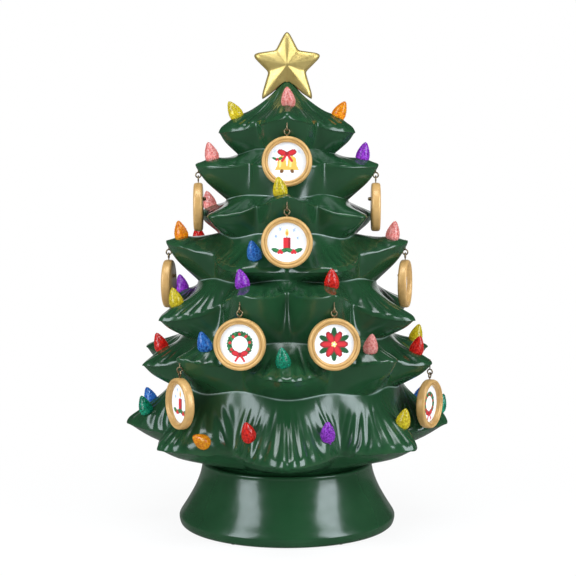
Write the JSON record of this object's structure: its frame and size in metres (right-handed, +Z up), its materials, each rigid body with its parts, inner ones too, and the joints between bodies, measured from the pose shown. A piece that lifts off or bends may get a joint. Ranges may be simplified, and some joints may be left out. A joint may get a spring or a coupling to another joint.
{
  "type": "ceramic christmas tree",
  "caption": "Glossy green ceramic tree on a flared pedestal, with coloured light pegs, a gold star and round gold ornaments hanging from wire eyes.",
  "frame": {"origin": "centre of the pedestal on the table", "axes": "+Z up, -Y towards the viewer, +X to the viewer's right"},
  "size_m": [0.266, 0.2625, 0.4025],
  "materials": {
    "green_glaze": "glossy glaze",
    "gold_glaze": "satin gold",
    "brass_wire": "polished",
    "gold_frame": "satin gold",
    "picture_card": "printed",
    "light_red": "translucent",
    "light_orange": "translucent",
    "light_yellow": "translucent",
    "light_green": "translucent",
    "light_blue": "translucent",
    "light_purple": "translucent",
    "light_pink": "translucent",
    "white_plastic": "matt",
    "board_green": "matt",
    "lamp_lens": "clear",
    "diffuser_white": "frosted",
    "black_plastic": "matt",
    "cell_jacket": "satin",
    "contact_steel": "satin",
    "lead_red": "satin",
    "foot_rubber": "matt"
  },
  "bodies": {
    "base": {"base_pedestal": "green_glaze", "lamp_holder": "white_plastic", "led_board": "board_green", "led_lamps": "lamp_lens", "lamp_diffuser": "diffuser_white", "battery_case": "black_plastic", "batteries": "cell_jacket", "battery_contacts": "contact_steel", "case_screws": "contact_steel", "lamp_leads": "lead_red", "rubber_feet": "foot_rubber"},
    "tree": {"tree_body": "green_glaze", "branch_eyes": "brass_wire", "bulbs_red": "light_red", "bulbs_orange": "light_orange", "bulbs_yellow": "light_yellow", "bulbs_green": "light_green", "bulbs_blue": "light_blue", "bulbs_purple": "light_purple", "bulbs_pink": "light_pink"},
    "star": {"star": "gold_glaze"},
    "battery_door": {"battery_door": "black_plastic"},
    "switch_slider": {"switch_slider": "white_plastic"},
    "ornament_01": {"ornament_01_frame": "gold_frame", "ornament_01_picture": "picture_card", "ornament_01_fittings": "brass_wire"},
    "ornament_02": {"ornament_02_frame": "gold_frame", "ornament_02_picture": "picture_card", "ornament_02_fittings": "brass_wire"},
    "ornament_03": {"ornament_03_frame": "gold_frame", "ornament_03_picture": "picture_card", "ornament_03_fittings": "brass_wire"},
    "ornament_04": {"ornament_04_frame": "gold_frame", "ornament_04_picture": "picture_card", "ornament_04_fittings": "brass_wire"},
    "ornament_05": {"ornament_05_frame": "gold_frame", "ornament_05_picture": "picture_card", "ornament_05_fittings": "brass_wire"},
    "ornament_06": {"ornament_06_frame": "gold_frame", "ornament_06_picture": "picture_card", "ornament_06_fittings": "brass_wire"},
    "ornament_07": {"ornament_07_frame": "gold_frame", "ornament_07_picture": "picture_card", "ornament_07_fittings": "brass_wire"},
    "ornament_08": {"ornament_08_frame": "gold_frame", "ornament_08_picture": "picture_card", "ornament_08_fittings": "brass_wire"},
    "ornament_09": {"ornament_09_frame": "gold_frame", "ornament_09_picture": "picture_card", "ornament_09_fittings": "brass_wire"},
    "ornament_10": {"ornament_10_frame": "gold_frame", "ornament_10_picture": "picture_card", "ornament_10_fittings": "brass_wire"},
    "ornament_11": {"ornament_11_frame": "gold_frame", "ornament_11_picture": "picture_card", "ornament_11_fittings": "brass_wire"},
    "ornament_12": {"ornament_12_frame": "gold_frame", "ornament_12_picture": "picture_card", "ornament_12_fittings": "brass_wire"}
  },
  "joints": [
    {"name": "tree_lift", "type": "slide", "parent": "base", "child": "tree", "axis": [0, 0, 1], "range_m": [0, 0.06]},
    {"name": "star_lift", "type": "slide", "parent": "tree", "child": "star", "axis": [0, 0, 1], "range_m": [0, 0.03]},
    {"name": "door_slide", "type": "slide", "parent": "base", "child": "battery_door", "axis": [1, 0, 0], "range_m": [0, 0.03]},
    {"name": "switch_slide", "type": "slide", "parent": "base", "child": "switch_slider", "axis": [1, 0, 0], "range_m": [0, 0.004]},
    {"name": "ornament_01_swing", "type": "hinge", "parent": "tree", "child": "ornament_01", "pos_m": [0, -0.05632, 0.32127], "axis": [-1, 0, 0], "range_deg": [-6, 11]},
    {"name": "ornament_02_swing", "type": "hinge", "parent": "tree", "child": "ornament_02", "pos_m": [0, -0.08492, 0.25986], "axis": [-1, 0, 0], "range_deg": [-6, 60]},
    {"name": "ornament_03_swing", "type": "hinge", "parent": "tree", "child": "ornament_03", "pos_m": [-0.03487, -0.10732, 0.18544], "axis": [-0.9903, 0.1392, 0], "range_deg": [-1, 60]},
    {"name": "ornament_04_swing", "type": "hinge", "parent": "tree", "child": "ornament_04", "pos_m": [0.03487, -0.10732, 0.18544], "axis": [-0.9903, -0.1392, 0], "range_deg": [-1, 60]},
    {"name": "ornament_05_swing", "type": "hinge", "parent": "tree", "child": "ornament_05", "pos_m": [-0.07135, -0.01517, 0.2861], "axis": [-0.0349, 0.9994, 0], "range_deg": [-3, 6]},
    {"name": "ornament_06_swing", "type": "hinge", "parent": "tree", "child": "ornament_06", "pos_m": [0.07135, -0.01517, 0.2861], "axis": [-0.0349, -0.9994, 0], "range_deg": [-3, 5]},
    {"name": "ornament_07_swing", "type": "hinge", "parent": "tree", "child": "ornament_07", "pos_m": [-0.09596, -0.01009, 0.22394], "axis": [0.0698, 0.9976, 0], "range_deg": [-3, 60]},
    {"name": "ornament_08_swing", "type": "hinge", "parent": "tree", "child": "ornament_08", "pos_m": [0.09596, -0.01009, 0.22394], "axis": [-0.225, -0.9744, 0], "range_deg": [0, 60]},
    {"name": "ornament_09_swing", "type": "hinge", "parent": "tree", "child": "ornament_09", "pos_m": [-0.08085, -0.08979, 0.13843], "axis": [-0.5, 0.866, 0], "range_deg": [-2, 60]},
    {"name": "ornament_10_swing", "type": "hinge", "parent": "tree", "child": "ornament_10", "pos_m": [0.11365, -0.03693, 0.12978], "axis": [-0.5, -0.866, 0], "range_deg": [-5, 60]},
    {"name": "ornament_11_swing", "type": "hinge", "parent": "tree", "child": "ornament_11", "pos_m": [0, 0.07959, 0.25541], "axis": [1, 0, 0], "range_deg": [-2, 7]},
    {"name": "ornament_12_swing", "type": "hinge", "parent": "tree", "child": "ornament_12", "pos_m": [0, 0.11085, 0.18021], "axis": [1, 0, 0], "range_deg": [-4, 60]}
  ]
}
